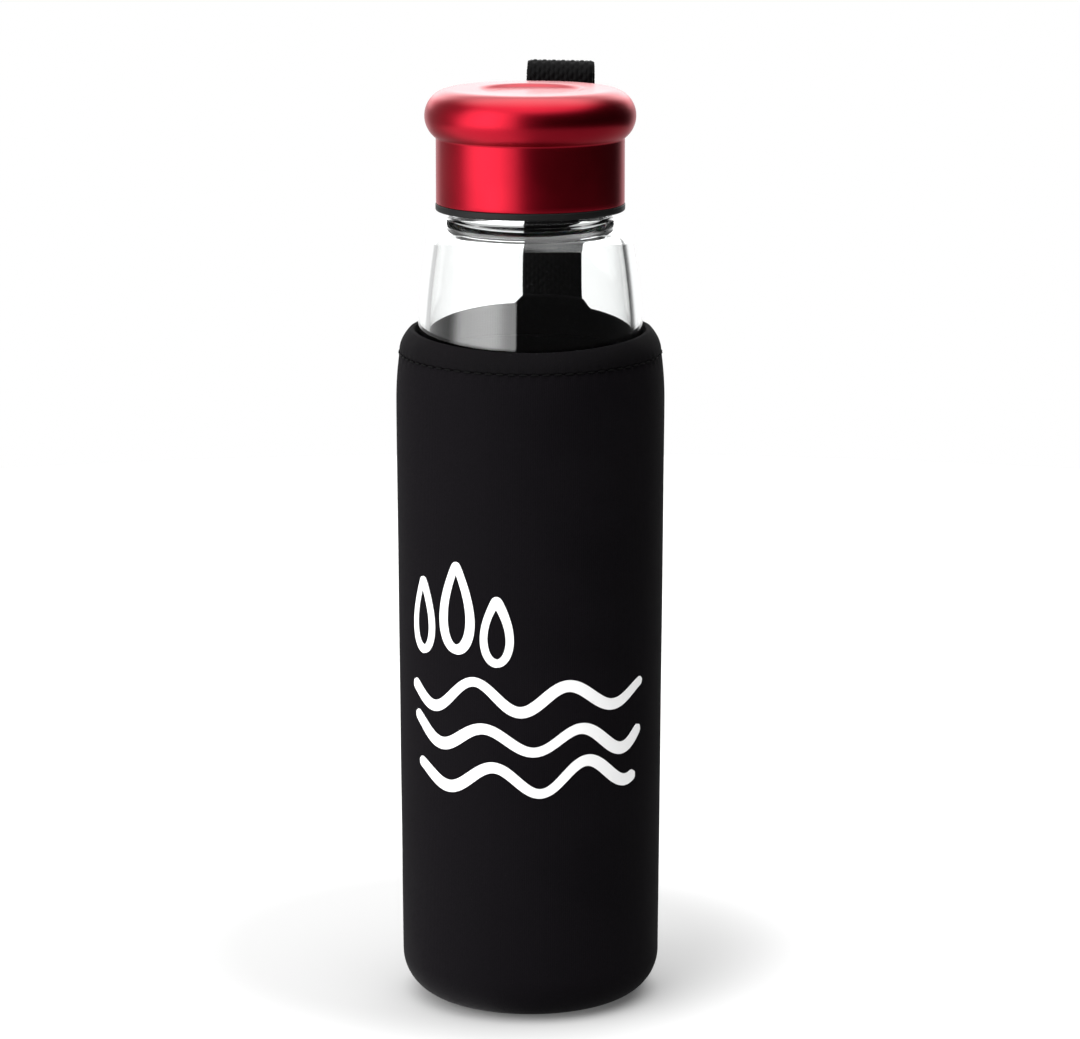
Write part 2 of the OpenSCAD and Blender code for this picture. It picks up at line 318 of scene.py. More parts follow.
# a finish with two tones runs unevenly between them
tones = {
    "glass": (0.985, 0.995, 0.992, 1),
    "red": ((0.24, 0.0036, 0.012, 1), (0.27, 0.0046, 0.014, 1)),
    "redEdge": (1, 0.72, 0.74, 1),      # where the light only grazes the metal
    "plastic": ((0.006, 0.006, 0.006, 1), (0.009, 0.009, 0.009, 1)),
    "silicone": ((0.78, 0.78, 0.74, 1), (0.84, 0.84, 0.81, 1)),
    "neoprene": ((0.0022, 0.0017, 0.0025, 1), (0.0032, 0.0026, 0.0035, 1)),
    "rim": ((0.0022, 0.0019, 0.0024, 1), (0.0032, 0.0028, 0.0034, 1)),
    "thread": ((0.002, 0.002, 0.002, 1), (0.004, 0.004, 0.0042, 1)),
    "ink": ((0.80, 0.80, 0.80, 1), (0.42, 0.42, 0.43, 1)),
    "webbing": ((0.0012, 0.0012, 0.0013, 1), (0.0024, 0.0024, 0.0026, 1)),
}


def clearGlass():
    f = newFinish("clearGlass")
    waves = f.noise(28, 1, 0.4, f.place(scale=(1, 1, 0.35)))
    return f.surface(tones["glass"], 0.0, f.bump(waves, 0.05, 0.0006), IOR=1.5,
                     Transmission_Weight=1.0)


def redAnodised():
    f = newFinish("redAnodised")
    blasted = f.noise(2600, 3, 0.6)
    clouds = f.noise(60, 2)
    # the lacquer lies thicker on the top face
    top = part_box("cap_shell")[1].z
    height = f.node("ShaderNodeSeparateXYZ", {}, {0: f.place()}, out=2)
    lacquer = f.between(height, top - 0.0030, top - 0.0012, 0.07, 0.45)
    tone = f.mixColour(f.between(clouds, 0.35, 0.65), *tones["red"])
    return f.surface(tone, f.between(clouds, 0.3, 0.7, 0.32, 0.35), f.bump(blasted, 0.05, 0.00006),
                     Metallic=1.0, Specular_Tint=tones["redEdge"], Coat_Weight=lacquer,
                     Coat_Roughness=0.25)


def blackPlastic():
    f = newFinish("blackPlastic")
    grain = f.noise(1500, 3, 0.6)
    patches = f.noise(90, 2)
    return f.surface(f.mixColour(patches, *tones["plastic"]),
                     f.between(patches, 0.3, 0.7, 0.42, 0.52), f.bump(grain, 0.15, 0.0001),
                     Specular_IOR_Level=0.1)


def whiteSilicone():
    f = newFinish("whiteSilicone")
    patches = f.noise(120, 2)
    return f.surface(f.mixColour(patches, *tones["silicone"]),
                     f.between(patches, 0.3, 0.7, 0.4, 0.55), f.bump(f.noise(900, 2), 0.1, 0.0001),
                     Subsurface_Weight=0.2, Subsurface_Scale=0.002)


def jersey(name, radius, dark, light):
    # fine knit: columns of small v-shaped loops that run round the sleeve
    f = newFinish(name)
    at = f.node("ShaderNodeSeparateXYZ", {}, {0: f.place()})
    x, y, z = (Value(f, at.socket.node.outputs[i]) for i in range(3))
    columnPitch, rowPitch, loopLean = 0.00058, 0.00044, 1.6
    columns = x.maths("ARCTAN2", x, y) * (radius * mm / columnPitch)
    side = (columns - columns.whole() - 0.5).size()
    row = z / rowPitch + side * loopLean
    loops = (row * fullTurn).sine() * 0.5 + 0.5
    wales = (side * math.pi).sine()
    knit = loops * 0.5 + wales * 0.8
    fluff = f.noise(1400, 3, 0.65)
    clouds = f.noise(38, 3, 0.55)
    tone = f.mixColour(f.between(clouds, 0.3, 0.7), dark, light)
    height = knit + fluff * 0.9
    return f.surface(tone, f.between(clouds, 0.3, 0.7, 0.78, 0.88),
                     f.bump(height, 0.35, 0.00012, f.bump(clouds, 0.3, 0.0005)),
                     Specular_IOR_Level=0.05)


def sewingThread():
    f = newFinish("sewingThread")
    twist = f.noise(3200, 2, 0.5, f.place(scale=(1, 1, 2.2), turn=(0.6, 0.4, 0.5)))
    return f.surface(f.mixColour(twist, *tones["thread"]),
                     0.7, f.bump(twist, 0.5, 0.0001), Specular_IOR_Level=0.04)


def whiteInk():
    f = newFinish("whiteInk")
    weave = f.noise(1500, 3, 0.65)
    wear = f.between(f.noise(420, 4, 0.7), 0.60, 0.74)
    tone = f.mixColour(wear * 0.35, *tones["ink"])
    return f.surface(tone, f.between(weave, 0.3, 0.7, 0.45, 0.62), f.bump(weave, 0.3, 0.00012))


def nylonWebbing():
    f = newFinish("nylonWebbing")
    fibres = f.noise(1900, 3, 0.6, f.place(scale=(1, 1, 0.3)))
    clouds = f.noise(80, 2)
    return f.surface(f.mixColour(clouds, *tones["webbing"]),
                     f.between(fibres, 0.3, 0.7, 0.42, 0.58), f.bump(fibres, 0.35, 0.0001),
                     Specular_IOR_Level=0.035)


finishes = {
    "glass": clearGlass(),
    "red": redAnodised(),
    "plastic": blackPlastic(),
    "silicone": whiteSilicone(),
    "neoprene": jersey("neopreneJersey", 35.0, *tones["neoprene"]),
    "rim": jersey("rimJersey", 33.0, *tones["rim"]),
    "thread": sewingThread(),
    "ink": whiteInk(),
    "webbing": nylonWebbing(),
}
print("materials made")


glassLow, glassHigh = (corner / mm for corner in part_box("glass_bottle"))
glass = {
    "wall": 3.0,
    "corner": 8.0,          # radius of the outer edge of the base
    "innerCorner": 6.0,
    "floor": 4.5,
    "dome": 1.2,            # rise of the floor inside, towards the middle
    "puntDepth": 2.0,       # hollow under the base
    "puntRadius": 18.0,
    "shoulderStart": 165.0,  # height where the straight body ends
    "shoulderCurve": 250.0,  # radius of the long curve above it
    "shoulderTop": 210.2,
    "shoulderRound": 6.6,   # radius of its outer round, and of its inner one
    "innerRound": 4.2,
    "neck": 21.4,
    "mouth": 19.3,
    "neckRoot": 1.1,        # radii where the neck runs into the shoulder
    "mouthRoot": 1.2,
}
thread = {
    "lead": 8.0,            # rise in a turn
    "starts": 2,
    "turns": 0.9,
    "firstAngle": 11.0,
    "height": 215.4,        # where the glass thread starts
    "glassRise": 1.2,
    "insertRise": 1.1,
    "halfWidth": 1.15,
}


def threadRise(x, y, z, base):
    # how far the thread stands out here, from 0 to 1
    angle = math.degrees(math.atan2(y, x))
    best = 0.0
    for i in range(thread["starts"]):
        turns = ((angle - thread["firstAngle"]) / 360 - i / thread["starts"]) % 1
        if turns <= thread["turns"]:
            fade = ease(0, 0.09, turns) * ease(thread["turns"], thread["turns"] - 0.09, turns)
            away = abs(z - base - thread["lead"] * turns) / thread["halfWidth"]
            best = max(best, fade * (1 - ease(0.35, 1.0, away)))
    return best


def shoulderJoins(reach, topZ, roundBy, neck, root):
    # where the long curve, the shoulder's round and the round at the neck's root meet
    centreR, start = glassHigh.x - glass["shoulderCurve"], glass["shoulderStart"]
    z = topZ - roundBy
    r = centreR + math.sqrt((reach - roundBy) ** 2 - (z - start) ** 2)
    tilt = math.degrees(math.asin((z - start) / (reach - roundBy)))
    rootZ = z + math.sqrt((roundBy + root) ** 2 - (neck + root - r) ** 2)
    turn = math.degrees(math.atan2(rootZ - z, neck + root - r))
    return r, z, tilt, rootZ, turn


def makeGlass():
    body, foot, lip = glassHigh.x, glassLow.z, glassHigh.z
    neck, mouth, wall = glass["neck"], glass["mouth"], glass["wall"]
    curve, start, top = glass["shoulderCurve"], glass["shoulderStart"], glass["shoulderTop"]
    neckRoot, mouthRoot = glass["neckRoot"], glass["mouthRoot"]
    r1, z1, tilt1, rootZ, turn1 = shoulderJoins(curve, top, glass["shoulderRound"], neck, neckRoot)
    r2, z2, tilt2, flareZ, turn2 = shoulderJoins(curve - wall, top - wall, glass["innerRound"],
                                                 mouth, mouthRoot)
    lipRound = (neck - mouth) / 2
    puntCurve = (glass["puntRadius"] ** 2 + glass["puntDepth"] ** 2) / (2 * glass["puntDepth"])
    puntTilt = math.degrees(math.asin(glass["puntRadius"] / puntCurve))
    corner, innerCorner, floorZ = glass["corner"], glass["innerCorner"], foot + glass["floor"]
    cornerR = body - wall - innerCorner
    domeCurve = (cornerR ** 2 + glass["dome"] ** 2) / (2 * glass["dome"])
    domeTilt = math.degrees(math.asin(cornerR / domeCurve))
    piece = turned("glassBottle", (0, foot + glass["puntDepth"]), [
        ("arc", 0, foot + glass["puntDepth"] - puntCurve, -puntTilt, 12),
        ("line", body - corner, foot, 2),
        ("arc", body - corner, foot + corner, 90, 14),
        ("line", body, start, 24),
        ("arc", body - curve, start, tilt1, 24),
        ("arc", r1, z1, turn1 - tilt1, 22),
        ("arc", neck + neckRoot, rootZ, -turn1, 10),
        ("line", neck, lip - lipRound, 56),
        ("arc", neck - lipRound, lip - lipRound, 180, 14),
        ("line", mouth, flareZ, 10),
        ("arc", mouth + mouthRoot, flareZ, turn2, 10),
        ("arc", r2, z2, tilt2 - turn2, 20),
        ("arc", body - curve, start, -tilt2, 24),
        ("line", body - wall, floorZ + innerCorner, 24),
        ("arc", cornerR, floorZ + innerCorner, -90, 12),
        ("arc", 0, floorZ + glass["dome"] - domeCurve, domeTilt, 10),
    ], steps=224)

    def raiseThread(x, y, z):
        r = math.hypot(x, y)
        if abs(r - neck) > 0.05 or z < rootZ:
            return x, y, z
        grown = 1 + thread["glassRise"] * threadRise(x, y, z, thread["height"]) / r
        return x * grown, y * grown, z

    reshape(piece, raiseThread)
    finishPiece(smooth(piece, 60), "bottle", finishes["glass"], "clear_glass", "glass_bottle")


makeGlass()
print("glass done")


shellLow, shellHigh = (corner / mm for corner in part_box("cap_shell"))
insertLow, insertHigh = (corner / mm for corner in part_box("cap_insert"))
cap = {
    "skirt": 24.75,
    "wall": 0.6,
    "bulge": 7.05,          # radius of the rounded bulge
    "crease": 0.8,          # radius of the fillet between bulge and skirt
    "dishFlat": 11.2,       # the dish is flat out to here
    "dishEdge": 14.8,       # and its wall has turned flat again here
    "dishDepth": 1.05,
    "rolledEdge": 0.3,
    "thinner": 0.2,         # how much wider the dish is under the metal
}
insert = {
    "bore": 23.0,
    "wall": 1.4,
    "room": 0.05,           # between it and the metal
    "underMetal": 0.02,
    "overGasket": 0.1,
    "boss": 9.0,            # ring under the dish
    "bossWall": 1.5,
    "bossRoom": 0.1,
    "edge": 0.5,
    "fineEdge": 0.3,
}
gasket = {"hole": 18.8, "edge": 0.4}


def makeShell():
    top, foot = shellHigh.z, shellLow.z
    skirt, wall, bulge, crease = cap["skirt"], cap["wall"], cap["bulge"], cap["crease"]
    centreR, centreZ = shellHigh.x - bulge, top - bulge
    creaseR = skirt + crease
    creaseZ = centreZ - math.sqrt((bulge + crease) ** 2 - (creaseR - centreR) ** 2)
    lean = math.degrees(math.atan2(centreZ - creaseZ, creaseR - centreR))
    flat, edge, depth = cap["dishFlat"], cap["dishEdge"], cap["dishDepth"]
    slope = 2 * math.atan(depth / (edge - flat))
    bend = (edge - flat) / 2 / math.sin(slope)
    slope = math.degrees(slope)
    rolled = cap["rolledEdge"]
    piece = turned("capShell", (0, top - depth), [
        ("line", flat, top - depth, 5),
        ("arc", flat, top - depth + bend, slope, 10),
        ("arc", edge, top - bend, -slope, 10),
        ("line", centreR, top, 6),
        ("arc", centreR, centreZ, -90 - lean, 56),
        ("arc", creaseR, creaseZ, lean, 10),
        ("line", skirt, foot + rolled, 14),
        ("arc", skirt - rolled, foot + rolled, -180, 8),
        ("line", skirt - wall, creaseZ, 2),
        ("arc", creaseR, creaseZ, -lean, 6),
        ("arc", centreR, centreZ, 90 + lean, 24),
        ("line", edge + cap["thinner"], top - wall, 2),
        ("line", flat + cap["thinner"], top - depth - wall, 3),
        ("line", 0, top - depth - wall, 4),
    ], steps=256)
    finishPiece(smooth(piece, 50), "cap", finishes["red"], "red_anodised_aluminium", "cap_shell")


def makeInsert():
    foot, rim, bore, boss = insertLow.z, insertHigh.x, insert["bore"], insert["boss"]
    outer = cap["skirt"] - cap["wall"] - insert["room"]
    under = shellLow.z - insert["underMetal"]
    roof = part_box("cap_gasket")[1].z / mm + insert["overGasket"]
    upper = roof + insert["wall"]
    bossTop = shellHigh.z - cap["dishDepth"] - cap["wall"] - insert["bossRoom"]
    edge, fine = insert["edge"], insert["fineEdge"]
    piece = turned("capInsert", (0, upper), [
        ("line", boss - insert["bossWall"], upper, 1),
        ("line", boss - insert["bossWall"], bossTop, 1),
        ("line", boss, bossTop, 1),
        ("line", boss, upper, 1),
        ("line", outer - edge, upper, 1),
        ("arc", outer - edge, upper - edge, -90, 4),
        ("line", outer, under, 2),
        ("line", rim - fine, under, 1),
        ("arc", rim - fine, under - fine, -90, 5),
        ("line", rim, foot + edge, 2),
        ("arc", rim - edge, foot + edge, -90, 6),
        ("line", bore + edge, foot, 2),
        ("arc", bore + edge, foot + edge, -90, 5),
        ("line", bore, roof - fine, 48),
        ("arc", bore - fine, roof - fine, 90, 3),
        ("line", 0, roof, 4),
    ], steps=192)

    def raiseThread(x, y, z):
        r = math.hypot(x, y)
        if abs(r - bore) > 0.05:
            return x, y, z
        base = thread["height"] - thread["lead"] / thread["starts"] / 2
        grown = 1 - thread["insertRise"] * threadRise(x, y, z, base) / r
        return x * grown, y * grown, z

    reshape(piece, raiseThread)
    finishPiece(smooth(piece, 40), "cap", finishes["plastic"], "black_plastic", "cap_insert")


def makeGasket():
    low, high = (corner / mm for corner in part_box("cap_gasket"))
    inner, outer, edge = gasket["hole"], high.x, gasket["edge"]
    piece = turned("capGasket", (inner + edge, low.z), [
        ("line", outer - edge, low.z, 6),
        ("arc", outer - edge, low.z + edge, 90, 5),
        ("line", outer, high.z - edge, 1),
        ("arc", outer - edge, high.z - edge, 90, 5),
        ("line", inner + edge, high.z, 6),
        ("arc", inner + edge, high.z - edge, 90, 5),
        ("line", inner, low.z + edge, 1),
        ("arc", inner + edge, low.z + edge, 90, 5),
    ], steps=128)
    finishPiece(smooth(piece, 40), "seal", finishes["silicone"], "silicone", "cap_gasket")


makeShell()
makeInsert()
makeGasket()
print("cap done")


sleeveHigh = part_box("sleeve_body")[1] / mm
sleeve = {
    "foot": 34.5,           # outer radius above the rounded foot
    "wide": 158.0,          # height of the widest place
    "corner": 11.5,
    "bore": 30.45,
    "floor": 2.95,
    "neckIn": 0.9,          # how far the stitches draw the wall in
    "rimFront": 179.2,      # height of the rim at the front
    "rimSide": 181.3,       # at the sides
    "rimBack": 183.3,
    "stitchFront": 173.9,
    "tongue": 2.4,          # rise of the rim where the strap leaves it
    "tongueHalf": 8.4,
    "tongueFoot": 12.0,
    "lip": 0.8,
    "sideFrom": 100.0,      # degrees round from the front where the rim and the stitches stop rising
    "backFrom": 105.0,      # and where the rim rises again
    "backTo": 170.0,
    "puckers": 72,          # one for each stitch under the rim
    "puckerDepth": 0.16,
    "puckerReach": 1.6,
    "softness": 0.05,       # slow unevenness of the wall
    "softSpan": 26.0,
    "softFrom": 8.0,
    "drawnFrom": 140.0,     # above this height the wall follows the stitches' dip
    "necksFrom": 162.0,     # and above this one it draws in
    "room": 0.25,           # how much wider its inner corner is than the glass's
    "seam": 1.2,            # groove round the base disc
    "groove": 0.45,         # groove under the hem
}
hem = {"startTilt": 3.2, "tuck": 0.7, "crumple": 0.09, "crumpleSpan": 7.0}
baseDisc = {"hollow": 0.25, "flatFrom": 12.0, "flatRise": 0.1, "edge": 0.8, "upperEdge": 0.4}
stitchZ = sleeveHigh.z
wideR = sleeveHigh.x


def sleeveRadius(z):
    share = (z - sleeve["corner"]) / (sleeve["wide"] - sleeve["corner"])
    return sleeve["foot"] + (wideR - sleeve["foot"]) * min(share, 1.0)


def aroundDip(x, y):
    # 0 at the front, 1 from the sides on
    return ease(0, sleeve["sideFrom"], abs(fromFront(x, y)))


def stitchHeight(x, y):
    return sleeve["stitchFront"] + (stitchZ - sleeve["stitchFront"]) * aroundDip(x, y)


def rimHeight(x, y):
    rim = sleeve["rimFront"] + (sleeve["rimSide"] - sleeve["rimFront"]) * aroundDip(x, y)
    atBack = ease(sleeve["backFrom"], sleeve["backTo"], abs(fromFront(x, y)))
    rim += (sleeve["rimBack"] - sleeve["rimSide"]) * atBack
    if y > 0:
        rim += sleeve["tongue"] * ease(sleeve["tongueFoot"], sleeve["tongueHalf"], abs(x))
    return rim


def pucker(x, y, z):
    turn = math.atan2(y, x) / fullTurn * sleeve["puckers"]
    near = math.exp(-((z - stitchHeight(x, y)) / sleeve["puckerReach"]) ** 2)
    return -sleeve["puckerDepth"] * near * (0.5 + 0.5 * math.cos(fullTurn * turn))


def unevenness(x, y, z):
    place = Vector((x, y, z)) / sleeve["softSpan"]
    return sleeve["softness"] * noise.noise(place) * ease(2, 20, z)


def swell(x, y, z, amount):
    r = math.hypot(x, y)
    grown = 1 + amount / max(r, 1)
    return x * grown, y * grown, z


def makeSleeveBody():
    corner, bore, floor, seam = sleeve["corner"], sleeve["bore"], sleeve["floor"], sleeve["seam"]
    necks, edgeZ = sleeve["necksFrom"], stitchZ - 0.5
    cornerR = sleeve["foot"] - corner
    holeR = cornerR - 0.5
    grooveR = holeR + seam
    startTilt = math.degrees(math.asin((grooveR + 0.1 - cornerR) / corner))
    first = (grooveR + 0.1, corner - corner * math.cos(math.radians(startTilt)))
    bend = (stitchZ - necks) ** 2 / (2 * sleeve["neckIn"])
    innerCorner = glass["corner"] + sleeve["room"]
    innerR = bore - innerCorner
    endTilt = math.degrees(math.asin((holeR - innerR) / innerCorner))
    piece = turned("sleeveBody", first, [
        ("arc", cornerR, corner, 90 - startTilt, 26),
        ("line", wideR, sleeve["wide"], 64),
        ("line", wideR, necks, 2),
        ("arc", wideR - bend, necks, math.degrees(math.asin((edgeZ - necks) / bend)), 22),
        ("arc", wideR - sleeve["neckIn"] - sleeve["groove"], edgeZ, 85, 6),
        ("line", bore, stitchZ - 0.1, 3),
        ("line", bore, floor + innerCorner, 40),
        ("arc", innerR, floor + innerCorner, -90 + endTilt, 12),
        ("line", holeR, seam, 2),
        ("line", grooveR, seam, 2),
        ("line", *first, 2),
    ], steps=288)

    def soften(x, y, z):
        outside = math.hypot(x, y) > bore + 1
        if outside and z > sleeve["softFrom"]:
            x, y, z = swell(x, y, z, unevenness(x, y, z) + pucker(x, y, z))
        if z > sleeve["drawnFrom"]:
            z += (stitchHeight(x, y) - stitchZ) * ease(sleeve["drawnFrom"], stitchZ, z)
        return x, y, z

    reshape(piece, soften)
    return finishPiece(smooth(piece, 50), "sleeve", finishes["neoprene"], "neoprene", "sleeve_body")


def makeHem():
    bore, lip, outer = sleeve["bore"], sleeve["lip"], wideR - sleeve["neckIn"]
    low, top = stitchZ + 0.1, sleeve["rimBack"]
    lipR, lipZ = bore + lip, top - lip
    # the outside is one arc from the stitches that runs into the rounded lip
    curve = ((outer - lipR) ** 2 + (lipZ - stitchZ) ** 2 - lip ** 2) / (2 * (outer - lipR - lip))
    curveR = outer - curve
    reach = math.degrees(math.atan2(lipZ - stitchZ, lipR - curveR))
    startTilt, inside = hem["startTilt"], outer - hem["tuck"]
    tilt = math.radians(startTilt)
    first = (curveR + curve * math.cos(tilt), stitchZ + curve * math.sin(tilt))
    piece = turned("sleeveHem", first, [
        ("arc", curveR, stitchZ, reach - startTilt, 34),
        ("arc", lipR, lipZ, 180 - reach, 16),
        ("line", bore, low, 8),
        ("line", inside, low, 4),
        ("arc", inside, first[1], 88, 6),
        ("line", *first, 1),
    ], steps=360)

    def fold(x, y, z):
        share = (z - stitchZ) / (top - stitchZ)
        base = stitchHeight(x, y)
        tall = rimHeight(x, y) - base
        z = base + tall * share
        if math.hypot(x, y) > bore + 0.6:
            crumple = hem["crumple"] * noise.noise(Vector((x, y, z * 2)) / hem["crumpleSpan"])
            x, y, z = swell(x, y, z, pucker(x, y, z) + crumple)
        return x, y, z

    reshape(piece, fold)
    return finishPiece(smooth(piece, 50), "sleeve", finishes["rim"], "neoprene_binding", "sleeve_hem")


def makeBase():
    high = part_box("sleeve_base")[1] / mm
    edge, upperEdge = baseDisc["edge"], baseDisc["upperEdge"]
    piece = turned("sleeveBase", (0, baseDisc["hollow"]), [
        ("line", baseDisc["flatFrom"], baseDisc["flatRise"], 6),
        ("line", high.x - edge, 0, 8),
        ("arc", high.x - edge, edge, 90, 6),
        ("line", high.x, high.z - upperEdge, 2),
        ("arc", high.x - upperEdge, high.z - upperEdge, 90, 4),
        ("line", 0, high.z, 10),
    ], steps=160)
    return finishPiece(smooth(piece, 40), "sleeve", finishes["neoprene"], "neoprene_base", "sleeve_base")


# the thread in each seam: thick is its size across and proud its size outwards
stitches = {
    "hem": {"share": 0.74, "thick": 0.5, "proud": 0.5},    # share of the pitch that thread covers
    "base": {"count": 84, "length": 1.5, "thick": 0.55, "proud": 0.42, "slant": 68.0},
    "back": {"pitch": 2.2, "length": 3.7, "thick": 0.42, "proud": 0.42, "slant": 32.0},
    "strap": {"share": 0.86, "pitch": 2.1, "thick": 0.5, "proud": 0.5, "inset": 0.3},
}


def oneStitch(name, length, sewn, place, turn=0.0):
    # a short rounded length of thread, lying along X at first
    freshStart()
    bpy.ops.mesh.primitive_uv_sphere_add(segments=8, ring_count=6, radius=0.5 * mm)
    piece = named(name)
    reach = length / 2

    def stretch(x, y, z):
        along, across = z * 2, Vector((x, y)) * 2
        return along * reach, across.x * sewn["proud"] / 2, across.y * sewn["thick"] / 2

    reshape(piece, stretch)
    piece.data.transform(Matrix.Translation(Vector(place) * mm) @ Matrix.Rotation(turn, 4, "Y"))
    return piece


def finishSeam(piece, node):
    smooth(closeUp(piece), 60)
    return finishPiece(piece, "sleeve", finishes["thread"], "black_thread", node)


def makeHemStitches():
    sewn, count = stitches["hem"], sleeve["puckers"]
    r = wideR - sleeve["neckIn"] + 0.05
    pitch = fullTurn * r / count
    # the webbing covers the seam at the back
    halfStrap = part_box("strap_anchor")[1].x / mm
    covered = math.ceil((halfStrap + pitch / 2) / pitch)
    piece = oneStitch("hemStitches", pitch * sewn["share"], sewn, (0, -r, stitchZ + 0.05))
    first = fullTurn / 2 - covered * fullTurn / count
    piece.data.transform(Matrix.Rotation(-first, 4, "Z"))
    copiedRound(piece, count - 2 * covered, count)
    reshape(piece, lambda x, y, z: (x, y, z + stitchHeight(x, y) - stitchZ))
    return finishSeam(piece, "hem_stitches")


def makeBaseSeam():
    low, high = (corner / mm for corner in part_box("base_seam"))
    sewn, r = stitches["base"], high.x - 0.5
    piece = oneStitch("baseSeam", sewn["length"], sewn, (0, 0, 0))
    # each stitch lies across the seam, a little aslant
    piece.data.transform(Matrix.Translation(Vector((0, -r, (low.z + high.z) / 2)) * mm)
                         @ Matrix.Rotation(math.radians(sewn["slant"]), 4, "Z"))
    copiedRound(piece, sewn["count"] - 1, sewn["count"])
    return finishSeam(piece, "base_seam")


def makeBackSeam():
    low, high = (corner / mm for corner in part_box("back_seam"))
    sewn, first = stitches["back"], low.z + 1.2
    pitch, slant = sewn["pitch"], math.radians(sewn["slant"])
    count = int((high.z - low.z - 2) / pitch)
    # a zigzag of two slanting stitches
    piece = joined("backSeam", [
        oneStitch("backSeam", sewn["length"], sewn, (0, 0, first), slant),
        oneStitch("backSeamOther", sewn["length"], sewn, (0, 0, first + pitch / 2), -slant),
    ])
    applied(piece, "ARRAY", count=count, use_relative_offset=False, use_constant_offset=True,
            constant_offset_displace=(0, 0, pitch * mm))
    reshape(piece, lambda x, y, z: (x, math.sqrt(sleeveRadius(z) ** 2 - x * x) + y + 0.12, z))
    return finishSeam(piece, "back_seam")


sleeveBody = makeSleeveBody()
onSleeve = [makeHem(), makeBase(), makeHemStitches(), makeBaseSeam(), makeBackSeam()]
print("sleeve done")


# drops over three waves, drawn flat and then laid round the sleeve
ink = {
    "width": 2.9,
    "thick": 0.16,
    "sunk": 0.12,
    "waveRise": 3.3,
    "waveLength": 26.0,
    "waveSteps": 150,
    "overlap": 0.3,         # of a drop's two ends, in radians
    "drops": [              # sideways, up, radius, rise of the tip, steps, share of the width
        (-32.6, 103.5, 4.3, 14, 80, 0.8),
        (-20.6, 106.0, 5.2, 17, 96, 0.85),
        (-9.0, 102.5, 4.4, 12, 80, 0.8),
    ],
    "waves": [              # left end, right end, height, shift
        (-37.5, 35.0, 88.0, 4),
        (-36.5, 34.0, 78.0, 7),
        (-35.0, 32.0, 67.3, 9),
    ],
}


def strokeAlong(route, steps, width):
    # route takes 0..1 and returns a place in millimetres, sideways and up
    freshStart()
    bpy.ops.mesh.primitive_grid_add(x_subdivisions=steps, y_subdivisions=6, size=2 * mm)
    piece = named("printStroke")
    length = sum(math.dist(route(i / 100), route((i + 1) / 100)) for i in range(100))
    start, nudge = route(0)[1], 0.002

    def lay(x, y, z):
        t = (x + 1) / 2
        before = min(t, 1 - nudge)
        (x0, z0), (x1, z1) = route(before), route(before + nudge)
        way = Vector((x1 - x0, z1 - z0)).normalized()
        here = route(t)
        fromEnd = min(t, 1 - t) * length
        rounded = math.sqrt(max(0.0, 1 - (1 - min(1, fromEnd / (width / 2))) ** 2))
        handDrawn = 1 + 0.12 * math.sin(t * 9 + start) + 0.04 * math.sin(t * 17)
        half = width / 2 * handDrawn * max(rounded, 0.12)
        return here[0] - way.y * y * half, here[1] + way.x * y * half, 0

    reshape(piece, lay)
    applied(piece, "SOLIDIFY", thickness=(ink["thick"] + ink["sunk"]) * mm, offset=1)

    def wrap(x, y, z):
        angle = math.radians(frontSide) + x / wideR
        r = sleeveRadius(y) - ink["sunk"] + z
        return r * math.sin(angle), -r * math.cos(angle), y

    reshape(piece, wrap)
    return piece


def dropRoute(x, z, r, tip):
    # starts and ends at the bottom
    def route(t):
        a = fullTurn * t + ink["overlap"] * (t - 0.5)
        pull = (1 - math.cos(a)) / 2
        wide = r * math.sin(a) * (1 - 0.75 * pull ** 1.5)
        return x + wide, z - r * math.cos(a) * (1 - pull) + (tip - r) * pull ** 1.6 + r * pull
    return route


def waveRoute(x0, x1, z, shift):
    def route(t):
        x = x0 + (x1 - x0) * t
        rise = ink["waveRise"] * (1 + 0.2 * math.sin(t * 5 + z))
        swing = rise * math.sin(fullTurn * (x - shift) / ink["waveLength"])
        return x, z + swing + 0.9 * math.sin(t * 3 + z)
    return route


def makePrint():
    made = [strokeAlong(dropRoute(x, z, r, tip), steps, ink["width"] * share)
            for x, z, r, tip, steps, share in ink["drops"]]
    made += [strokeAlong(waveRoute(*wave), ink["waveSteps"], ink["width"]) for wave in ink["waves"]]
    piece = joined("sleevePrint", made)
    return finishPiece(smooth(closeUp(piece), 50), "sleeve", finishes["ink"], "white_ink", "sleeve_print")


onSleeve.append(makePrint())
print("print done")


anchorLow, anchorHigh = (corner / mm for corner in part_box("strap_anchor"))
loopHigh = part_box("strap_loop")[1] / mm
hinge = next(j for j in frame["joints"] if j["name"] == "strap_fold")["pos_m"]
hingeY, hingeZ = hinge[1] / mm, hinge[2] / mm
strap = {
    "width": 18.0,
    "thick": 1.3,
    "ribs": 14,             # warp yarns across
    "weft": 1.15,           # distance between the yarns that run across
    "relief": 0.26,
    "edgeBeat": 0.13,       # how far each weft turn stands out at the edge
    "columns": 70,          # faces across and along
    "rows": 600,
    "step": 0.25,           # distance between the points of its route
    "lean": 1.4,            # how far the loop's foot hangs to one side
    "twist": 0.9,           # and its back layer
}


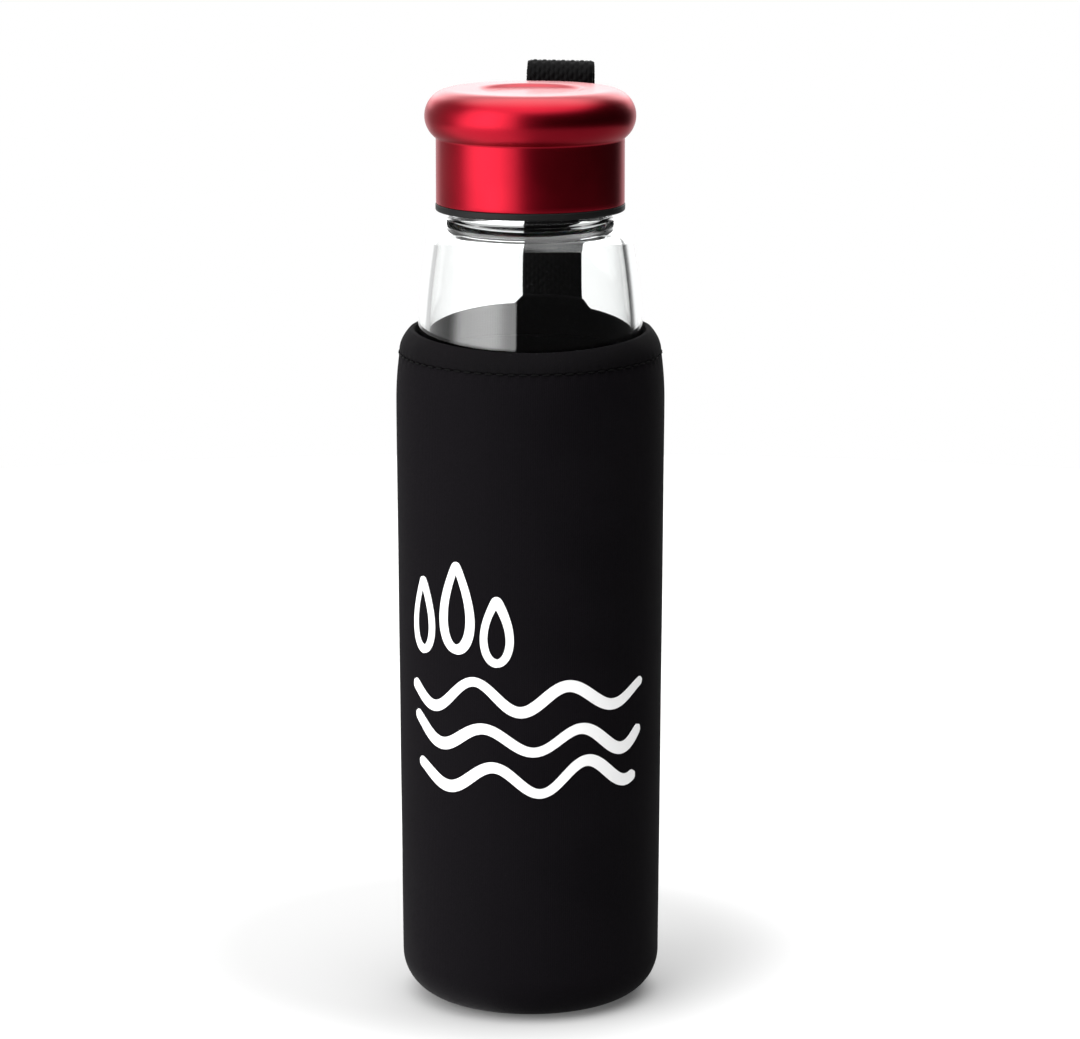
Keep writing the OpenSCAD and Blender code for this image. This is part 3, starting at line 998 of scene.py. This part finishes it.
def strapRoute():
    # the side view of the webbing's middle: up the sleeve, round the loop and back down
    inner, outer = anchorHigh.y - 1.9, anchorHigh.y - 0.65
    front, top, low = hingeY - 0.65, loopHigh.z, anchorLow.z
    deep = loopHigh.y - hingeY
    return [
        (inner, low), (inner, low + 8), (inner, low + 15), (front + 0.2, hingeZ - 7), (front, hingeZ + 4),
        (front, hingeZ + 28), (front + 0.02, top - 8), (front + 0.5, top - 2.4),
        (front + 0.5 * deep, top - 0.66), (front + deep - 0.5, top - 2.5), (front + deep, top - 8),
        (front + 0.8 * deep, top - 30), (front + 1.9, hingeZ + 8), (front + 1.42, hingeZ - 5),
        (outer, low + 15), (outer, low + 8), (outer, low),
    ]


def smoothRoute(points, step):
    # a curve through the points, sampled evenly
    fine = []
    for i in range(len(points) - 1):
        a, b, c, d = (Vector(points[min(max(k, 0), len(points) - 1)]) for k in (i - 1, i, i + 1, i + 2))
        for j in range(40):
            t = j / 40
            fine.append(0.5 * ((2 * b) + (c - a) * t + (2 * a - 5 * b + 4 * c - d) * t * t
                               + (3 * b - a - 3 * c + d) * t ** 3))
    fine.append(Vector(points[-1]))
    even, left = [fine[0]], 0.0
    for a, b in zip(fine, fine[1:]):
        gap = (b - a).length
        while gap > 0 and left + gap >= step:
            a = a + (b - a) * ((step - left) / gap)
            gap, left = (b - a).length, 0.0
            even.append(a)
        left += gap
    return even


def makeStrap():
    step = strap["step"]
    route = smoothRoute(strapRoute(), step)
    length = step * (len(route) - 1)
    half = strap["width"] / 2
    freshStart()
    bpy.ops.mesh.primitive_grid_add(x_subdivisions=strap["columns"], y_subdivisions=strap["rows"],
                                    size=2 * mm)
    piece = named("webbingStrap")
    reshape(piece, lambda x, y, z: (x * half, (y + 1) / 2 * length, 0))
    applied(piece, "SOLIDIFY", thickness=(strap["thick"] - 2 * strap["relief"]) * mm, offset=0)

    def weave(x, y, z):
        side = 1 if z > 0 else -1
        rib = (x / half + 1) / 2 * strap["ribs"]
        across = (rib % 1) - 0.5
        yarn = math.sqrt(max(0.0, 1 - (2 * across) ** 2 * 0.96))
        over = math.cos(math.pi * (y / strap["weft"] + math.floor(rib)))
        edge = ease(half, half - 1.1, abs(x))
        lift = strap["relief"] * yarn * (0.62 + 0.38 * side * over)
        beat = strap["edgeBeat"] * math.cos(fullTurn * y / strap["weft"]) * ease(half - 2, half, abs(x))
        thick = abs(z) * (0.5 + 0.5 * edge) + lift * (0.3 + 0.7 * edge)
        return x + math.copysign(beat, x), y, side * thick

    reshape(piece, weave)
    wrapped = wideR + 0.1

    def follow(x, s, h):
        at = min(max(s / step, 0), len(route) - 1.001)
        i = int(at)
        here = route[i].lerp(route[i + 1], at - i)
        a, b = route[max(i - 2, 0)], route[min(i + 3, len(route) - 1)]
        way = (b - a).normalized()
        y, z = here.x + way.y * h, here.y - way.x * h
        # the sewn part lies round the sleeve
        lie = 1 - ease(anchorHigh.z - 12, hingeZ + 3, z)
        x -= strap["lean"] * (1 - ease(hingeZ, loopHigh.z, z)) * (1 - lie)
        x -= strap["twist"] * min(1, max(0, y - hingeY) / (loopHigh.y - hingeY)) * (1 - lie)
        return x, y - lie * (wrapped - math.sqrt(wrapped ** 2 - x * x)), z

    reshape(piece, follow)
    finishPiece(smooth(closeUp(piece), 70), None, finishes["webbing"], "black_webbing",
                "strap_loop", "strap_anchor")
    hinge[2] - 0.003
    hinge[2] + 0.005
    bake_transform(piece)


def makeStrapStitches():
    low, high = (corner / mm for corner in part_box("strap_stitches"))
    sewn = stitches["strap"]
    inset = sewn["inset"]
    halfWide, z0, z1 = (high.x - low.x) / 2 - inset, low.z + inset, high.z - inset
    # a box with a cross in it
    corners = [(-halfWide, z0), (halfWide, z0), (halfWide, z1), (-halfWide, z1)]
    runs = list(zip(corners, corners[1:] + corners[:1]))
    runs += [(corners[0], corners[2]), (corners[1], corners[3])]
    made = []
    for start, end in runs:
        a, b = Vector(start), Vector(end)
        count = round((b - a).length / sewn["pitch"])
        turn = -math.atan2(b.y - a.y, b.x - a.x)
        length = (b - a).length / count * sewn["share"]
        for i in range(count):
            at = a.lerp(b, (i + 0.5) / count)
            made.append(oneStitch("strapStitch", length, sewn, (at.x, 0, at.y), turn))
    piece = joined("strapStitches", made)
    face = anchorHigh.y - 0.03
    reshape(piece, lambda x, y, z: (x, face + y - (wideR - math.sqrt(wideR ** 2 - x * x)), z))
    finishSeam(piece, "strap_stitches")


makeStrap()
makeStrapStitches()
print("strap done")


studio = {
    "softbox": 5.3,         # brightness of the big softbox to the left of the camera
    "softboxRight": -15.0,  # its edges, in degrees round from the camera
    "softboxLeft": -84.0,
    "softboxBottom": (-40, -30),  # a pair of angles is where something fades, in degrees
    "softboxTop": (52, 40),
    "leftFade": (-10, 8),   # how soft its edges are
    "rightFade": 1.2,
    "hottest": (-46, -40),  # full brightness lies between these, and falls to these shares
    "leftShare": 0.68,
    "rightShare": 0.58,
    "rightShareAt": -22.0,
    "leftFill": 0.6,
    "rightDark": 0.03,      # black card to the right of the camera
    "rightEnd": (152, 136),
    "top": 3.7,
    "topFrom": (38, 60),
    "behind": 1.2,          # white wall behind the bottle
    "behindFrom": (136, 152),
    "behindHigh": 2.9,      # its bright part, which the cap's top reflects
    "behindRise": (2, 8),
    "behindFall": (24, 42),
    "behindTop": 1.1,
    "floorColour": 0.40,
    "paintedShadowGlow": 0.09,     # the table's glow: dimmed near the bottle into a painted shadow, and full away from it
    "floorFar": 0.41,
    "shadeAt": (-0.025, 0.035, 0),  # metres, the middle of the painted shadow, where the table glows least
    "shadeFrom": 0.062,
    "shadeTo": 0.112,
    "floorReflected": 0.65,
    "paintedSoftboxPool": 2.4,       # a painted pool of softbox light on the table, seen only in reflections, on the side of the softbox
    "paintedSoftboxPoolAt": -62.0,
}


def makeFloor():
    freshStart()
    bpy.ops.mesh.primitive_circle_add(vertices=128, radius=0.8, fill_type="NGON", location=(0, 0, 0))
    floor = named("floorDisc")
    f = newFinish("paleFloor")
    grain = f.noise(9, 2)
    pale, paler = ((studio["floorColour"] * shift,) * 3 + (1,) for shift in (0.995, 1.005))
    shade = f.node("ShaderNodeBsdfDiffuse", {}, {0: f.mixColour(grain, pale, paler)})
    aside = f.node("ShaderNodeVectorMath", {"operation": "SUBTRACT"}, {0: f.place(), 1: studio["shadeAt"]})
    away = f.node("ShaderNodeVectorMath", {"operation": "LENGTH"}, {0: aside}, out=1)
    # the table's glow dips round the bottle: a painted shadow, darkest at shadeAt
    light = f.between(away, studio["shadeFrom"], studio["shadeTo"], studio["paintedShadowGlow"], studio["floorFar"])
    glow = f.node("ShaderNodeEmission", {}, {0: (1, 1, 1, 1), 1: light})
    both = f.node("ShaderNodeAddShader", {}, {0: shade, 1: glow})
    # shiny pieces see a dimmer table: a painted reflection of it, with a painted pool of softbox light
    # towards the softbox
    toBox = math.radians(camera["azimuth"] + studio["paintedSoftboxPoolAt"])
    way = f.node("ShaderNodeVectorMath", {"operation": "NORMALIZE"}, {0: f.place()})
    facing = f.node("ShaderNodeVectorMath", {"operation": "DOT_PRODUCT"},
                    {0: way, 1: (math.sin(toBox), -math.cos(toBox), 0)}, out=1)
    reflected = f.between(facing, 0.4, 0.98, studio["floorReflected"], studio["paintedSoftboxPool"])
    dim = f.node("ShaderNodeEmission", {}, {0: (1, 1, 1, 1), 1: reflected})
    shiny = f.node("ShaderNodeLightPath", out=3)
    mixed = f.node("ShaderNodeMixShader", {}, {0: shiny, 1: both, 2: dim})
    f.node("ShaderNodeOutputMaterial", {}, {"Surface": mixed})
    floor.data.materials.append(f.owner)


def makeWorld():
    world = bpy.data.worlds.new("studioWorld")
    bpy.context.scene.world = world
    f = Finish(world)
    way = f.node("ShaderNodeTexCoord", out=0)
    turn = math.radians(camera["azimuth"])
    facing = (math.sin(turn), -math.cos(turn), 0)
    right = (math.cos(turn), math.sin(turn), 0)

    def along(direction):
        return f.node("ShaderNodeVectorMath", {"operation": "DOT_PRODUCT"}, {0: way, 1: direction}, out=1)

    front, side, up = along(facing), along(right), along((0, 0, 1))
    azimuth = side.maths("ARCTAN2", side, front) * (180 / math.pi)   # negative to the camera's left
    height = up.maths("ARCSINE", up) * (180 / math.pi)
    low, high = studio["softboxLeft"], studio["softboxRight"]
    (outside, inside), fade = studio["leftFade"], studio["rightFade"]
    box = (f.between(azimuth, low + outside, low + inside) * f.between(azimuth, high + fade, high - fade)
           * f.between(height, *studio["softboxBottom"]) * f.between(height, *studio["softboxTop"]))
    hotLeft, hotRight = studio["hottest"]
    fall = (f.between(azimuth, low, hotLeft, studio["leftShare"], 1.0)
            * f.between(azimuth, hotRight, studio["rightShareAt"], 1.0, studio["rightShare"]))
    left = f.between(azimuth, high, low)
    dark = f.between(azimuth, *studio["rightEnd"]) * f.between(azimuth, high, high + 3)
    above = f.between(height, *studio["topFrom"])
    bright = studio["behindHigh"]
    wall = (f.between(height, *studio["behindRise"], studio["behind"], bright)
            - f.between(height, *studio["behindFall"], 0, bright - studio["behindTop"]))
    plain = (studio["leftFill"] * left).most(wall * f.between(azimuth.size(), *studio["behindFrom"]))
    plain = plain * (1 - dark) + studio["rightDark"] * dark
    plain = plain * (1 - above) + studio["top"] * above
    light = plain + box * fall * studio["softbox"]
    lit = f.node("ShaderNodeBackground", {}, {0: (1, 1, 1, 1), 1: light})
    # the camera itself sees plain white
    plainWhite = f.node("ShaderNodeBackground", {}, {0: (1, 1, 1, 1), 1: 1.0})
    seen = f.node("ShaderNodeLightPath", out=0)
    mixed = f.node("ShaderNodeMixShader", {}, {0: seen, 1: lit, 2: plainWhite})
    f.node("ShaderNodeOutputWorld", {}, {"Surface": mixed})


def tuneRender():
    scene = bpy.context.scene
    scene.view_settings.view_transform = "Standard"
    scene.cycles.max_bounces = 24
    scene.cycles.transmission_bounces = 20
    scene.cycles.glossy_bounces = 8
    scene.cycles.transparent_max_bounces = 16
    scene.cycles.caustics_refractive = True
    scene.cycles.caustics_reflective = True
    scene.cycles.use_denoising = True


makeFloor()
makeWorld()
tuneRender()
print("stage done")
